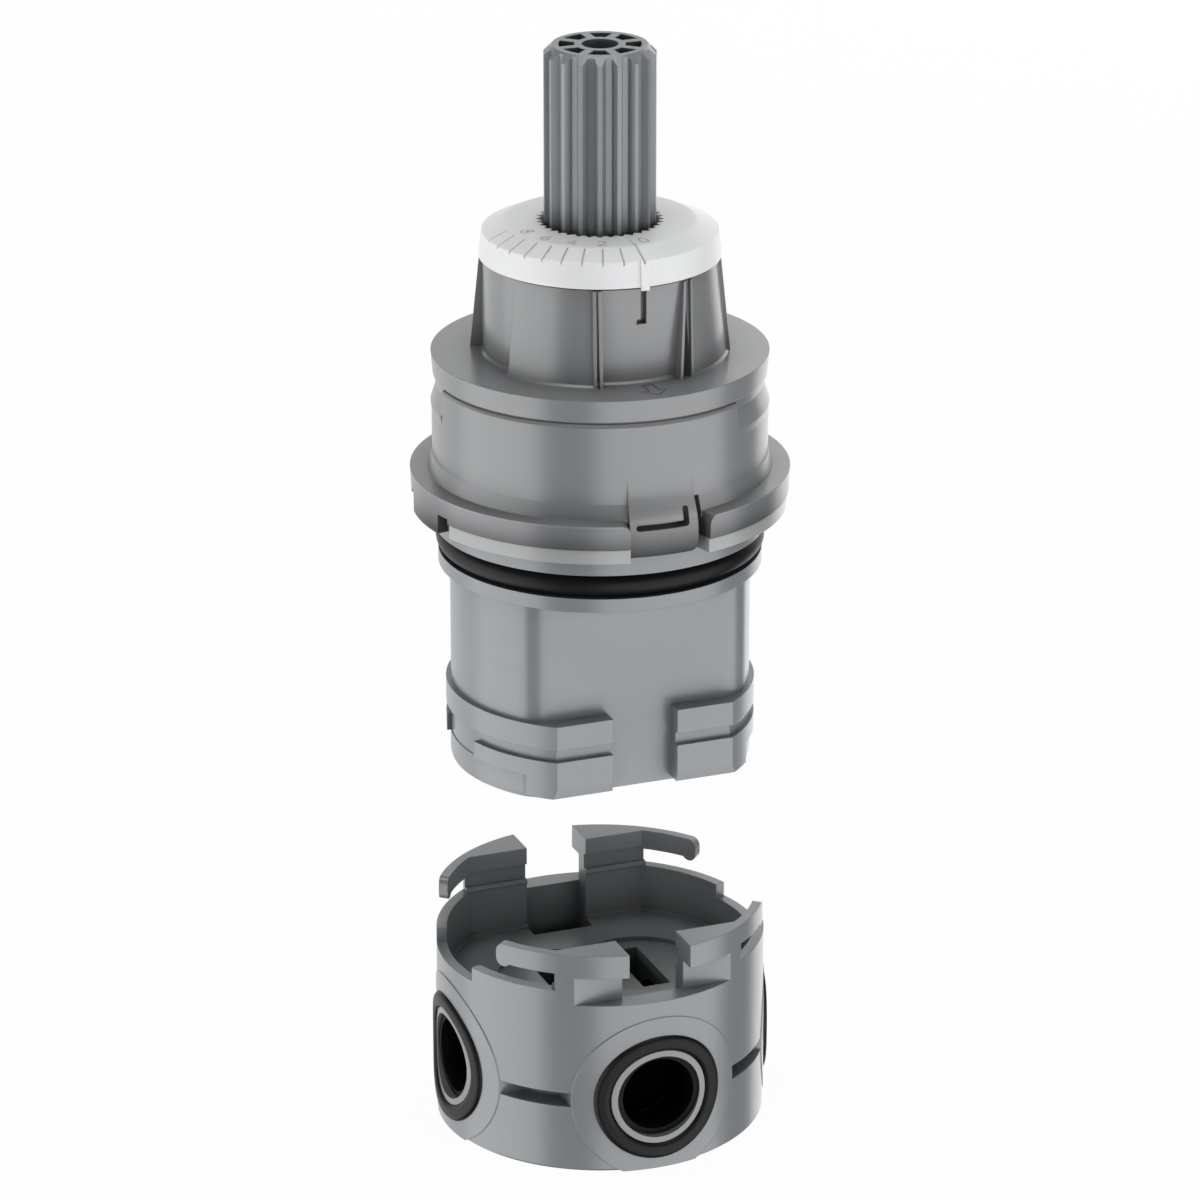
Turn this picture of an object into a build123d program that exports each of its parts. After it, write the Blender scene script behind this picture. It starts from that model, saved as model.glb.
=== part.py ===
from build123d import *
import math
import os

os.makedirs("parts", exist_ok=True)

# A pressure balance cartridge for a shower valve, with the four-way adaptor that clips under it.
# Millimetres. +Z is up the stem, the origin is on the axis at the seat under the flange,
# and the front, where the index slot is, faces -Y. The adaptor stands clear below, taken off.

# Running fits and gaps, and how far cuts run past a face and added shapes run into their carrier
running_gap = 0.08
seat_gap = 0.05
slip_gap = 0.2
loose_gap = 0.3
groove_spare = 0.1
ring_squeeze = 0.02
cut_over = 1.0
sunk = 1.0

# Stem: the splined handle end, the sealed journal and the stop collar
spline_radius = 6.0
spline_root_radius = 5.27
spline_count = 18
spline_tip_width = 0.45
spline_root_width = 1.25
spline_turn = -1.4
stem_top_chamfer = 0.93
stem_top = 50.7
journal_radius = 7.0
journal_length = 8.1
collar_radius = 9.4
collar_thickness = 2.6
hub_radius = 8.0
screw_hole_radius = 1.3
screw_hole_depth = 14.0
screw_mouth_radius = 1.94
screw_mouth_depth = 1.2
pocket_count = 8
pocket_inner_radius = 2.7
pocket_outer_radius = 4.4
pocket_web = 0.95
pocket_depth = 12.0
tongue_length = 10.0
tongue_width = 4.0
tongue_height = 2.6
stem_ring_section = 1.5
stem_ring_first = 2.4
stem_ring_second = 5.4
washer_thickness = 0.55

# Turning limits of the stem from the position shown, and the stop that sets them
turn_low = -38.0
turn_high = 124.0
stop_lug_half_angle = 14.0
stop_lug_radius = 11.3
stop_lug_height = 2.3
stop_spare_angle = 1.5

# White limit ring
ring_bottom = 27.85
ring_lift_gap = 0.25
ring_overhang = 0.48
ring_side_draft = 0.33
ring_side_height = 2.72
ring_shoulder_width = 2.35
ring_height = 3.77
ring_web = 2.87
ring_edge_round = 0.45
ring_shoulder_round = 1.2
ring_skirt_wall = 1.33
serration_count = 36
serration_tip_radius = 6.2
serration_root_radius = 6.85
hub_tooth_root_radius = 5.9
hub_tooth_tip_radius = 6.55
hub_tooth_top_gap = 1.1
index_tab_width = 0.9
index_tab_drop = 0.35
index_tab_proud = 0.18
tick_count = 10
tick_pitch = 10.0
tick_width = 0.16
tick_depth = 0.2
tick_run_down = 0.3
tick_inner_step = 0.25
index_tick_run = 2.05

# Upper housing
neck_top_radius = 12.45
neck_draft = 0.05
panel_base_proud = 1.0
panel_start = 23.5
panel_end = 67.0
neck_fillet = 0.25
rib_proud_top = 0.4
rib_proud_base = 0.4
rib_width = 0.36
rib_depth = 1.7
rib_head_angles = [-24.0, -21.5, 22.6, 26.9, 66.2]
rib_foot_angles = [-23.3, -20.7, 16.9, 23.3, 66.2]
disc_overhang = 0.05
disc_draft = 0.2
disc_top = 17.3
disc_thickness = 2.4
drum_radius = 18.05
seam_depth = 0.4
seam_width = 0.3
grip_start = 32.0
grip_arc = 58.0
grip_depth = 0.55
grip_drop = 1.2
grip_bead_proud = 0.1
grip_bead_height = 11.65
grip_bottom = 10.8
drum_foot_spread = 0.55
drum_foot_height = 1.6
flange_width = 1.85
flange_draft = 0.15
flange_bottom = 1.6
flange_top = 4.3
flange_corner = 1.0
break_wall_bottom = 2.8
break_left_angle = 12.2
break_right_angle = 13.4
tongue_right_angle = 10.6
tongue_set_in = 0.9
tongue_bottom = 0.45
tongue_straight_top = 2.6
tongue_blend_top = 8.6
tongue_corner = 0.9
lock_gap_depth = 0.8
index_slot_width = 0.62
index_slot_bottom = 23.7
index_slot_depth = 0.8
index_foot_width = 0.9
index_foot_height = 0.5
drum_wall = 2.35
roof_thickness = 2.0
side_foot_start = 79.3
side_notch_start = 74.0
side_notch_top = 2.25
lock_slot_left = 3.43
lock_slot_right = 2.5
lock_slot_width = 0.64
lock_slot_bottom = 3.3
lock_slot_top = 5.4

# Lower housing
tab_set_in = 0.2
collar_set_in = 0.15
collar_upper_height = 2.1
body_ring_section = 2.7
body_ring_set_in = 0.15
body_ring_groove_height = 2.76
collar_lower_step = 0.4
collar_lower_height = 1.54
body_radius = 16.25
body_flat = 11.4
body_corner = 4.5
body_bottom = -28.75
band_radius = 16.8
band_flat = 13.4
band_gap_half = 3.7
water_way_half = 4.2
band_top = -20.0
band_groove_top = -22.7
band_groove_flat = 12.8
lower_band_top = -24.1
foot_top = -26.0
foot_bottom = -28.35
foot_recess_radius = 16.35
foot_step_angle = 49.5
side_window_angle = 14.3
foot_lead_in = 0.3
foot_lead_height = 1.1
cup_clearance = 0.15
cup_wall = 2.35
cup_top = 8.4
cup_floor = 1.0

# Ceramic discs, their gasket and the driver
gasket_thickness = 1.2
disc_thickness_ceramic = 3.5
moving_disc_clearance = 0.35
driver_set_in = 0.25
driver_thickness = 2.8
port_inner_radius = 7.8
port_outer_radius = 10.0
port_half_angle = 24.0
gasket_rim = 1.0
mixing_rim = 1.1
mixing_half_angle = 65.0
key_width = 4.0
key_depth = 1.6
key_height = 2.0

# Pressure balance spool, lying across the body
spool_axis_height = -15.0
spool_travel = 2.0
trough_half_width = 6.4
trough_half_length = 13.4
sleeve_radius = 5.6
sleeve_bore = 3.6
spool_radius = 3.52
spool_half_length = 9.6
spool_land_half = 4.0
spool_end_land = 1.4
spool_waist_radius = 2.3
inlet_port_place = 4.8
outlet_port_place = 7.8
sleeve_ring_section = 1.0
sleeve_ring_places = [-10.9, -6.3, 0.0, 6.3, 10.9]
sleeve_port_radius = 0.8
sleeve_plug_thickness = 1.4
sleeve_end_gap = 0.2
saddle_top = -18.5
plate_fit_gap = 0.1
plate_thickness = 2.5
plate_margin = 1.7
plate_hold_half = 10.5
base_seal_outer = 6.9
base_seal_inner = 5.6
base_seal_depth = 1.1
base_seal_proud = 0.5
base_seal_web = 1.2
base_seal_web_half = 3.6

# Adaptor, at its height in the photograph
adaptor_radius = 18.16
adaptor_bottom = -71.6
foot_chamfer = 0.3
port_height = -63.1
adaptor_floor = -55.6
base_rim = -51.7
mid_rim = -50.1
crown_top = -45.85
adaptor_wall = 1.16
pad_flat_depth = 3.45
gap_half = 3.55
gap_step = 1.4
window_front = 11.3
post_end_angle = 36.6
arm_tip_angle = 59.8
arm_bottom = -48.1
arm_thickness = 1.06
arm_tip_radius = 0.95
arm_bump_height = -47.5
mid_rim_end_angle = 71.8
lug_bottom = -48.5
lug_inner_bottom = -47.8
snap_height = -49.95
snap_proud = 0.25
snap_half_height = 0.35
post_recess = 0.5
outer_flat_depth = 2.46
slot_near = 3.2
slot_far = 6.4
slot_half_length = 5.1
seal_well_radius = 7.1
seal_well_depth = 0.5
floor_ledge_width = 0.6
floor_ledge_height = 0.4
pad_radius = 9.5
pad_proud = 0.1
pad_inner_reach = 12.0
seal_outer_radius = 7.3
seal_inner_radius = 5.5
seal_round = 0.6
seal_proud = 0.4
seal_seat_depth = 1.2
liner_outer_radius = 4.8
liner_bore = 4.15
liner_length = 4.6
liner_set_in = 0.76
port_bore = 3.9
chamber_bottom = -68.0
groove_slot_height = 1.65
groove_slot_depth = 1.2
groove_pocket_depth = 2.6
groove_pocket_start = 33.5
core_inner = 8.0
core_wall = 2.76
core_start = 30.0
core_top = -66.5

# The four port directions, as angles from the front
port_angles = {"front": 0.0, "right": 90.0, "back": 180.0, "left": -90.0}
far_reach = 40.0


def radial_plane(angle, height=0.0):
    """An upright plane through the axis: its x runs outwards at an angle from the front."""
    swing = math.radians(angle)
    outward = Vector(math.sin(swing), -math.cos(swing), 0)
    return Plane(origin=(0, 0, height), x_dir=outward, z_dir=outward.cross(Vector(0, 0, 1)))


def facing_plane(angle, height=0.0):
    """An upright plane on the axis that faces outwards at an angle from the front."""
    swing = math.radians(angle)
    outward = Vector(math.sin(swing), -math.cos(swing), 0)
    return Plane(origin=(0, 0, height), x_dir=Vector(0, 0, 1).cross(outward), z_dir=outward)


def turned(points, start=0.0, arc=360.0):
    """A closed outline of (radius, height) points, turned about the axis through an arc."""
    with BuildPart() as piece:
        with BuildSketch(radial_plane(start)):
            with BuildLine():
                Polyline(*points, close=True)
            make_face()
        revolve(axis=Axis.Z, revolution_arc=arc)
    return piece.part


def turned_block(inner, outer, bottom, top, start=0.0, arc=360.0):
    """A block with a curved front and back, turned through an arc about the axis."""
    return turned([(inner, bottom), (outer, bottom), (outer, top), (inner, top)], start, arc)


def wedge(start, end, reach=far_reach):
    """A flat sector between two angles from the front, less than half a turn wide."""
    with BuildSketch() as sector:
        with BuildLine():
            angles = [start, (start + end) / 2, end]
            rim = [
                (reach * math.sin(math.radians(a)), -reach * math.cos(math.radians(a)))
                for a in angles
            ]
            Polyline((0, 0), *rim, close=True)
        make_face()
    return sector.sketch


def tube(outer, inner, bottom, top):
    """A plain ring on the axis."""
    with BuildPart() as ring:
        with BuildSketch(Plane.XY.offset(bottom)):
            Circle(outer)
            Circle(inner, mode=Mode.SUBTRACT)
        extrude(amount=top - bottom)
    return ring.part


def torus_ring(section_radius, centre_radius, height):
    """An O-ring lying level on the axis."""
    with BuildPart() as ring:
        with BuildSketch(Plane.XZ):
            with Locations((centre_radius, height)):
                Circle(section_radius)
        revolve(axis=Axis.Z)
    return ring.part


def flatted(radius, flat):
    """A round outline with a flat across the front and the back."""
    with BuildSketch() as outline:
        Circle(radius)
        Rectangle(2 * radius, 2 * flat, mode=Mode.INTERSECT)
    return outline.sketch


def toothed(tip, root):
    """A star of fine straight-sided teeth in line with the stem's splines."""
    half_tooth = 180 / serration_count
    with BuildSketch() as star:
        with BuildLine():
            Polyline(
                *[
                    Vector(0, -radius).rotate(Axis.Z, spline_turn + (2 * tooth + step) * half_tooth)
                    for tooth in range(serration_count)
                    for step, radius in ((0, tip), (1, root))
                ],
                close=True,
            )
        make_face()
    return star.sketch


def kidney(inner, outer, half_angle):
    """Four curved ports at a quarter turn from each other."""
    with BuildSketch() as ports:
        for angle in port_angles.values():
            add(wedge(angle - half_angle, angle + half_angle))
        Circle(outer, mode=Mode.INTERSECT)
        Circle(inner, mode=Mode.SUBTRACT)
    return ports.sketch


def save(piece, name):
    piece.label = name
    export_step(piece, f"parts/{name}.step")


# Heights that follow from the sizes above
ring_top = ring_bottom + ring_height
ring_web_bottom = ring_top - ring_web
shoulder_top = ring_web_bottom - seat_gap
journal_bottom = shoulder_top - journal_length
collar_top = journal_bottom - washer_thickness - seat_gap
collar_bottom = collar_top - collar_thickness
gasket_top = cup_floor + gasket_thickness
fixed_top = gasket_top + disc_thickness_ceramic
moving_top = fixed_top + disc_thickness_ceramic
driver_top = moving_top + driver_thickness
collar_cavity_radius = collar_radius + slip_gap
neck_boss_top = ring_web_bottom - loose_gap
roof = disc_top - roof_thickness
stop_lug_bottom = roof + slip_gap
stop_pocket_top = stop_lug_bottom + stop_lug_height + slip_gap
sleeve_half_length = trough_half_length - sleeve_end_gap
sleeve_ring_centre = trough_half_width - running_gap - sleeve_ring_section / 2
sleeve_ring_floor = sleeve_ring_centre - sleeve_ring_section / 2 - seat_gap
slot_middle = (slot_near + slot_far) / 2
disc_bottom = disc_top - disc_thickness

# Radii that follow, outwards from the neck and from the drum
ring_radius = neck_top_radius + ring_overhang
ring_side_top_radius = ring_radius - ring_side_draft
ring_top_radius = ring_side_top_radius - ring_shoulder_width
ring_skirt_inner = ring_radius - ring_skirt_wall
tick_inner_radius = ring_top_radius + tick_inner_step
index_tick_inner = ring_top_radius - index_tick_run
neck_base_radius = neck_top_radius + neck_draft
panel_base_radius = neck_base_radius + panel_base_proud
disc_radius = drum_radius + disc_overhang
disc_foot_radius = disc_radius - disc_draft
grip_radius = drum_radius - grip_depth
grip_bead_radius = drum_radius + grip_bead_proud
drum_foot_radius = drum_radius + drum_foot_spread
flange_radius = drum_foot_radius + flange_width
flange_lower_radius = flange_radius - flange_draft
tab_radius = flange_lower_radius - tab_set_in
tongue_radius = flange_radius - tongue_set_in
housing_bore = drum_radius - drum_wall
cup_radius = housing_bore - cup_clearance
cup_bore = cup_radius - cup_wall
fixed_disc_radius = cup_bore - seat_gap
moving_disc_radius = cup_bore - moving_disc_clearance
driver_radius = moving_disc_radius - driver_set_in
collar_upper_radius = drum_radius - collar_set_in
body_ring_outer_radius = collar_upper_radius - body_ring_set_in
collar_lower_radius = collar_upper_radius - collar_lower_step
adaptor_bore = adaptor_radius - adaptor_wall
gap_back = adaptor_bore - gap_step
pad_flat = adaptor_bore - pad_flat_depth
arm_inner_radius = adaptor_radius - arm_thickness
outer_flat = adaptor_radius - outer_flat_depth
liner_face = adaptor_radius - liner_set_in
core_outer = adaptor_radius - core_wall

# Stem: splines above, fine teeth for the limit ring, sealed journal, stop collar and tongue
stem_ring_radius = stem_ring_section / 2
stem_ring_centre = journal_radius + running_gap - ring_squeeze - stem_ring_radius
stem_ring_heights = [journal_bottom + stem_ring_first, journal_bottom + stem_ring_second]
stem_groove_radius = stem_ring_centre - stem_ring_radius - seat_gap
stem_groove_half = stem_ring_radius + groove_spare

spline_pitch = 360 / spline_count
spline_foot = spline_root_radius - groove_spare
with BuildPart() as stem:
    with BuildSketch(Plane.XY.offset(shoulder_top)):
        Circle(spline_root_radius)
        with BuildLine():
            Polyline(
                *[
                    (Vector(reach, across).rotate(Axis.Z, -90 + spline_turn + spline * spline_pitch))
                    for spline in range(spline_count)
                    for reach, across in (
                        (spline_foot, -spline_root_width / 2),
                        (spline_radius, -spline_tip_width / 2),
                        (spline_radius, spline_tip_width / 2),
                        (spline_foot, spline_root_width / 2),
                    )
                ],
                close=True,
            )
        make_face()
    extrude(amount=stem_top - shoulder_top)
    chamfer_foot = stem_top - stem_top_chamfer
    add(
        turned(
            [
                (spline_radius - stem_top_chamfer, stem_top),
                (spline_radius, chamfer_foot),
                (spline_radius + cut_over, chamfer_foot),
                (spline_radius + cut_over, stem_top + cut_over),
                (spline_radius - stem_top_chamfer, stem_top + cut_over),
            ]
        ),
        mode=Mode.SUBTRACT,
    )
    with BuildSketch(Plane.XY.offset(shoulder_top)):
        add(toothed(hub_tooth_tip_radius, hub_tooth_root_radius))
    extrude(amount=ring_web - hub_tooth_top_gap)
    journal_outline = [(0, driver_top), (hub_radius, driver_top), (hub_radius, collar_bottom)]
    journal_outline += [(collar_radius, collar_bottom), (collar_radius, collar_top)]
    journal_outline += [(journal_radius, collar_top)]
    for height in stem_ring_heights:
        journal_outline += [
            (journal_radius, height - stem_groove_half),
            (stem_groove_radius, height - stem_groove_half),
            (stem_groove_radius, height + stem_groove_half),
            (journal_radius, height + stem_groove_half),
        ]
    journal_outline += [(journal_radius, shoulder_top), (0, shoulder_top)]
    add(turned(journal_outline))
    add(
        turned_block(
            hub_radius - sunk,
            stop_lug_radius,
            stop_lug_bottom,
            stop_lug_bottom + stop_lug_height,
            180 - stop_lug_half_angle,
            2 * stop_lug_half_angle,
        )
    )
    with BuildSketch(Plane.XY.offset(driver_top - tongue_height)):
        Rectangle(tongue_length, tongue_width)
    extrude(amount=tongue_height)
    with BuildSketch(Plane.XY.offset(stem_top)):
        Circle(pocket_outer_radius)
        Circle(pocket_inner_radius, mode=Mode.SUBTRACT)
        with PolarLocations(pocket_outer_radius, pocket_count, start_angle=-90):
            Rectangle(pocket_outer_radius, pocket_web, mode=Mode.SUBTRACT)
    extrude(amount=-pocket_depth, mode=Mode.SUBTRACT)
    with Locations((0, 0, stem_top)):
        CounterBoreHole(screw_hole_radius, screw_mouth_radius, screw_mouth_depth, screw_hole_depth)
save(stem.part, "stem")

with BuildPart() as stem_o_rings:
    for height in stem_ring_heights:
        add(torus_ring(stem_ring_radius, stem_ring_centre, height))
save(stem_o_rings.part, "stem_o_rings")

thrust_washer = tube(
    collar_radius - groove_spare, journal_radius + running_gap, collar_top, collar_top + washer_thickness
)
save(thrust_washer, "thrust_washer")

# Limit ring: a white cap with fine teeth in its bore, an index tab and a scale of ticks
with BuildPart() as limit_ring:
    ring_side_top = ring_bottom + ring_side_height
    bore_clear = serration_tip_radius - cut_over
    add(
        turned(
            [
                (ring_skirt_inner, ring_bottom),
                (ring_radius, ring_bottom),
                (ring_side_top_radius, ring_side_top),
                (ring_top_radius, ring_top),
                (bore_clear, ring_top),
                (bore_clear, ring_web_bottom),
                (ring_skirt_inner, ring_web_bottom),
            ]
        )
    )
    top_circles = edges().filter_by(GeomType.CIRCLE).group_by(Axis.Z)[-1]
    fillet(top_circles.sort_by(SortBy.LENGTH)[-1], ring_shoulder_round)
    side_circle = edges().filter_by(GeomType.CIRCLE).sort_by_distance((0, 0, ring_side_top))[0]
    fillet(side_circle, ring_edge_round)
    with BuildSketch(Plane.XY.offset(ring_web_bottom)):
        add(toothed(serration_root_radius, serration_tip_radius))
    extrude(amount=ring_web, mode=Mode.SUBTRACT)
    tab_angle = math.degrees(index_tab_width / ring_radius)
    add(
        turned(
            [
                (neck_top_radius + loose_gap, ring_bottom - index_tab_drop),
                (ring_radius + index_tab_proud, ring_bottom - index_tab_drop),
                (ring_side_top_radius + index_tab_proud, ring_side_top),
                (ring_skirt_inner + sunk / 2, ring_side_top),
                (ring_skirt_inner + sunk / 2, ring_bottom),
                (neck_top_radius + loose_gap, ring_bottom),
            ],
            -tab_angle / 2,
            tab_angle,
        )
    )
    tick_arc = math.degrees(tick_width / ring_side_top_radius)
    shoulder_slope = (ring_top - ring_side_top) / (ring_side_top_radius - ring_top_radius)
    slope_floor = ring_top - tick_depth + shoulder_slope * ring_top_radius
    for tick in range(tick_count):
        tick_foot = ring_side_top_radius - tick_depth
        tick_floor = [
            (ring_side_top_radius - tick_depth / 2, ring_side_top - tick_run_down),
            (tick_foot, slope_floor - shoulder_slope * tick_foot),
            (ring_top_radius, ring_top - tick_depth),
        ]
        if tick == 0:
            tick_floor += [(index_tick_inner, ring_top - tick_depth)]
            tick_floor += [(index_tick_inner, ring_top + cut_over)]
        else:
            tick_floor[-1] = (tick_inner_radius, slope_floor - shoulder_slope * tick_inner_radius)
            tick_floor += [(tick_inner_radius, ring_top + cut_over)]
        tick_floor += [
            (ring_radius + cut_over, ring_top + cut_over),
            (ring_radius + cut_over, ring_side_top - tick_run_down),
        ]
        add(
            turned(tick_floor, -tick * tick_pitch - tick_arc / 2, tick_arc),
            mode=Mode.SUBTRACT,
        )
save(limit_ring.part, "limit_ring")

# Upper housing: neck, disc, drum and the flange that is broken at the front and the back
neck_top = ring_bottom - ring_lift_gap
with BuildPart() as tongue:
    with BuildSketch(radial_plane(-break_left_angle)):
        with BuildLine():
            blend_start = (tongue_radius, tongue_straight_top)
            blend_end = (drum_radius, tongue_blend_top)
            Polyline(
                blend_end,
                (housing_bore, tongue_blend_top),
                (housing_bore, tongue_bottom),
                (tongue_radius, tongue_bottom),
                blend_start,
            )
            Spline(blend_start, blend_end, tangents=[(0, 1), (0, 1)])
        make_face()
    revolve(axis=Axis.Z, revolution_arc=break_left_angle + tongue_right_angle)
    lower_ends = edges().filter_by(GeomType.LINE).group_by(Axis.Z)[0]
    fillet(lower_ends.sort_by(Axis.X)[-1], tongue_corner)
    slot_middle_across = (lock_slot_right - lock_slot_left) / 2
    slot_leg_height = lock_slot_top - lock_slot_bottom
    with BuildSketch(facing_plane(0).offset(housing_bore - cut_over)):
        with Locations((slot_middle_across, lock_slot_bottom + lock_slot_width / 2)):
            SlotOverall(lock_slot_left + lock_slot_right, lock_slot_width)
        with Locations((lock_slot_right - lock_slot_width / 2, lock_slot_bottom + slot_leg_height / 2)):
            SlotOverall(slot_leg_height, lock_slot_width, rotation=90)
    extrude(amount=flange_radius, mode=Mode.SUBTRACT)

with BuildPart() as flange:
    for turn in (0, 180):
        add(
            turned(
                [
                    (drum_radius - sunk, flange_bottom),
                    (flange_lower_radius, flange_bottom),
                    (flange_radius, flange_top),
                    (drum_radius - sunk, flange_top),
                ],
                turn + break_right_angle,
                180 - break_left_angle - break_right_angle,
            )
        )
    fillet(edges().filter_by(GeomType.LINE).group_by(Axis.Z)[-1], flange_corner)
    for turn in (0, 180):
        add(
            turned(
                [
                    (drum_radius - sunk, flange_top - flange_corner),
                    (drum_foot_radius, flange_top - flange_corner),
                    (drum_foot_radius, flange_top),
                    (drum_radius, flange_top + drum_foot_height),
                    (drum_radius - sunk, flange_top + drum_foot_height),
                ],
                turn + break_right_angle,
                180 - break_left_angle - break_right_angle,
            )
        )

with BuildPart() as ribs:
    inside = Vector(0, 0, (disc_top + neck_top) / 2)
    rib_foot_radius = panel_base_radius + rib_proud_base
    rib_head_radius = neck_top_radius + rib_proud_top
    for turn in (0, 180):
        for head_angle, foot_angle in zip(rib_head_angles, rib_foot_angles):
            foot = Vector(0, -rib_foot_radius, disc_top).rotate(Axis.Z, turn + foot_angle)
            head = Vector(0, -rib_head_radius, neck_top).rotate(Axis.Z, turn + head_angle)
            along = head - foot
            sideways = along.cross(inside - foot)
            with BuildSketch(Plane(origin=(foot + head) / 2, x_dir=along, z_dir=sideways)):
                Rectangle(along.length + 2 * rib_depth, 2 * rib_depth)
            extrude(amount=rib_width / 2, both=True)
    rib_room = turned(
        [
            (neck_top_radius - sunk, disc_top),
            (rib_foot_radius, disc_top),
            (rib_head_radius, neck_top),
            (neck_top_radius - sunk, neck_top),
        ]
    )
    add(rib_room, mode=Mode.INTERSECT)

with BuildPart() as upper_housing:
    add(
        turned(
            [
                (housing_bore, flange_bottom),
                (drum_radius, flange_bottom),
                (drum_radius, disc_bottom - 2 * seam_width),
                (drum_radius - seam_width / 2, disc_bottom - seam_width),
                (drum_radius - seam_depth, disc_bottom - seam_width / 2),
                (disc_foot_radius, disc_bottom),
                (disc_radius, disc_top),
                (neck_base_radius + neck_fillet, disc_top),
                (neck_base_radius, disc_top + neck_fillet),
                (neck_top_radius, neck_top),
                (ring_skirt_inner - loose_gap, neck_top),
                (ring_skirt_inner - loose_gap, neck_boss_top),
                (journal_radius + running_gap, neck_boss_top),
                (journal_radius + running_gap, journal_bottom),
                (collar_cavity_radius, journal_bottom),
                (collar_cavity_radius, roof),
                (cup_bore, roof),
                (cup_bore, cup_top + loose_gap),
                (housing_bore, cup_top + loose_gap),
            ]
        )
    )
    # two grips under the disc, each with a sloped back and a bead along its lower edge
    for turn in (0, 180):
        add(
            turned_block(
                housing_bore + sunk,
                drum_radius + cut_over,
                grip_bottom,
                disc_bottom,
                turn + grip_start,
                grip_arc,
            ),
            mode=Mode.SUBTRACT,
        )
        add(
            turned(
                [
                    (housing_bore + sunk, grip_bottom),
                    (drum_radius, grip_bottom),
                    (grip_bead_radius, grip_bead_height),
                    (grip_radius, disc_bottom - grip_drop),
                    (grip_radius, disc_bottom),
                    (housing_bore + sunk, disc_bottom),
                ],
                turn + grip_start,
                grip_arc,
            )
        )
    for start in (panel_start, -panel_end, 180 + panel_start, 180 - panel_end):
        add(
            turned(
                [
                    (neck_top_radius - sunk, disc_top),
                    (panel_base_radius + neck_fillet, disc_top),
                    (panel_base_radius, disc_top + neck_fillet),
                    (neck_top_radius, neck_top),
                    (neck_top_radius - sunk, neck_top),
                ],
                start,
                panel_end - panel_start,
            )
        )
    add(ribs.part)
    add(flange.part)
    for turn in (0, 180):
        add(
            turned_block(
                housing_bore - cut_over,
                flange_radius,
                flange_bottom - cut_over,
                break_wall_bottom,
                turn - break_left_angle,
                break_left_angle + break_right_angle,
            ),
            mode=Mode.SUBTRACT,
        )
        add(
            turned_block(
                drum_radius - lock_gap_depth,
                flange_radius,
                flange_bottom - cut_over,
                flange_top + drum_foot_height,
                turn + tongue_right_angle,
                break_right_angle - tongue_right_angle,
            ),
            mode=Mode.SUBTRACT,
        )
        add(tongue.part.rotate(Axis.Z, turn))
    for side in (90, -90):
        half_foot = 90 - side_foot_start
        half_notch = 90 - side_notch_start
        add(
            turned_block(
                collar_upper_radius + groove_spare,
                flange_lower_radius,
                seat_gap,
                flange_bottom,
                side - half_foot,
                2 * half_foot,
            )
        )
        for start in (side - half_notch, side + half_foot):
            add(
                turned_block(
                    collar_upper_radius + groove_spare,
                    flange_radius + cut_over,
                    flange_bottom - cut_over,
                    side_notch_top,
                    start,
                    half_notch - half_foot,
                ),
                mode=Mode.SUBTRACT,
            )
    with BuildSketch(facing_plane(0).offset(neck_top_radius - index_slot_depth)):
        with Locations((0, (index_slot_bottom + neck_top) / 2)):
            Rectangle(index_slot_width, neck_top - index_slot_bottom)
        with Locations((-index_slot_width / 2, index_slot_bottom + index_foot_height / 2)):
            Rectangle(index_foot_width, index_foot_height)
    extrude(amount=index_slot_depth + 2 * cut_over, mode=Mode.SUBTRACT)
    stop_start = 180 + turn_low - stop_lug_half_angle - stop_spare_angle
    stop_arc = turn_high - turn_low + 2 * (stop_lug_half_angle + stop_spare_angle)
    add(
        turned_block(
            collar_cavity_radius - cut_over,
            stop_lug_radius + slip_gap,
            roof - cut_over / 2,
            stop_pocket_top,
            stop_start,
            stop_arc,
        ),
        mode=Mode.SUBTRACT,
    )
save(upper_housing.part, "upper_housing")

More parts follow.
